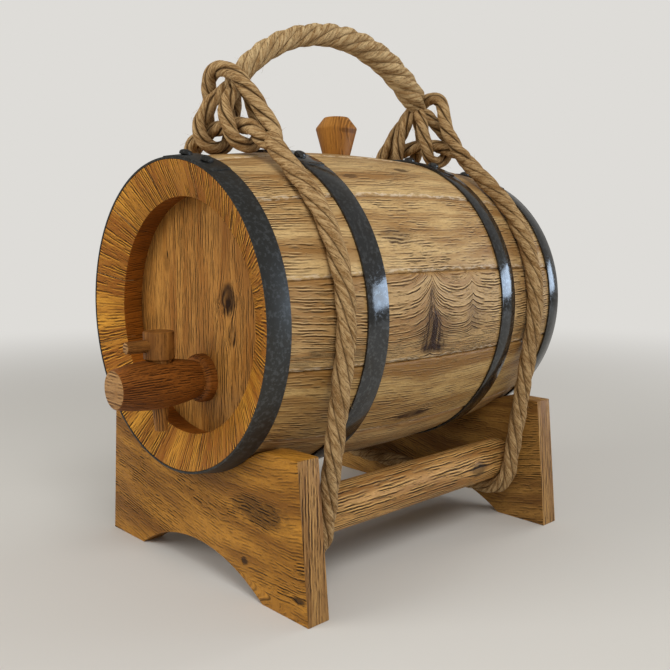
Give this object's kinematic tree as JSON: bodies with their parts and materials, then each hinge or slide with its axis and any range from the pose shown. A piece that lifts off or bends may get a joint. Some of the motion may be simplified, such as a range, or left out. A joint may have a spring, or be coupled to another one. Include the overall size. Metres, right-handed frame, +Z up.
{
  "type": "small oak keg on a stand",
  "caption": "Small oak keg lying on a cradle stand, with steel hoops, a turned wooden tap, a bung and a knotted rope handle, for serving wine at the table.",
  "frame": {"origin": "on the floor, under the middle of the part's length and width", "axes": "+Z up; -Y towards the tap end, along the barrel's axis; +X to the right as seen from the tap end"},
  "size_m": [0.2306, 0.3258, 0.369],
  "materials": {
    "stave_oak": "varnished oak, grain along the staves, semi-gloss",
    "head_oak": "varnished oak, upright grain",
    "dowel_oak": "plain turned oak",
    "bung_oak": "turned oak, upright grain",
    "tap_oak": "dark turned wood with pale end grain",
    "stand_oak": "brushed oak",
    "hoop_steel": "blackened hammered steel",
    "jute_rope": "laid jute with loose fibres"
  },
  "bodies": {
    "keg": {"bung_stave": "stave_oak", "stave_02": "stave_oak", "stave_03": "stave_oak", "stave_04": "stave_oak", "stave_05": "stave_oak", "stave_06": "stave_oak", "stave_07": "stave_oak", "stave_08": "stave_oak", "stave_09": "stave_oak", "stave_10": "stave_oak", "stave_11": "stave_oak", "stave_12": "stave_oak", "front_head_left_board": "head_oak", "front_head_middle_board": "head_oak", "front_head_right_board": "head_oak", "front_head_dowels": "dowel_oak", "rear_head_left_board": "head_oak", "rear_head_middle_board": "head_oak", "rear_head_right_board": "head_oak", "rear_head_dowels": "dowel_oak", "front_end_hoop": "hoop_steel", "front_quarter_hoop": "hoop_steel", "rear_quarter_hoop": "hoop_steel", "rear_end_hoop": "hoop_steel", "front_end_rivets": "hoop_steel", "front_quarter_rivets": "hoop_steel", "rear_quarter_rivets": "hoop_steel", "rear_end_rivets": "hoop_steel", "tap_body": "tap_oak", "front_cradle": "stand_oak", "rear_cradle": "stand_oak", "left_rung": "stand_oak", "right_rung": "stand_oak", "front_sling": "jute_rope", "front_cross_rope": "jute_rope", "front_over_rope": "jute_rope", "front_left_bight": "jute_rope", "front_right_bight": "jute_rope", "rear_sling": "jute_rope", "rear_cross_rope": "jute_rope", "rear_over_rope": "jute_rope", "rear_left_bight": "jute_rope", "rear_right_bight": "jute_rope"},
    "bung": {"bung": "bung_oak"},
    "tap_key": {"tap_key": "tap_oak", "tap_key_handle": "tap_oak"},
    "handle": {"handle_rope": "jute_rope"}
  },
  "joints": [
    {"name": "bung_lift", "type": "slide", "parent": "keg", "child": "bung", "axis": [0, 0, 1], "range_m": [0, 0.04]},
    {"name": "tap_key_turn", "type": "hinge", "parent": "keg", "child": "tap_key", "pos_m": [0, -0.1313, 0.1286], "axis": [0, 0, 1], "continuous": true},
    {"name": "handle_swing", "type": "hinge", "parent": "keg", "child": "handle", "pos_m": [0, 0.0199, 0.31676], "axis": [0, 1, 0], "range_deg": [-80, 80]}
  ]
}
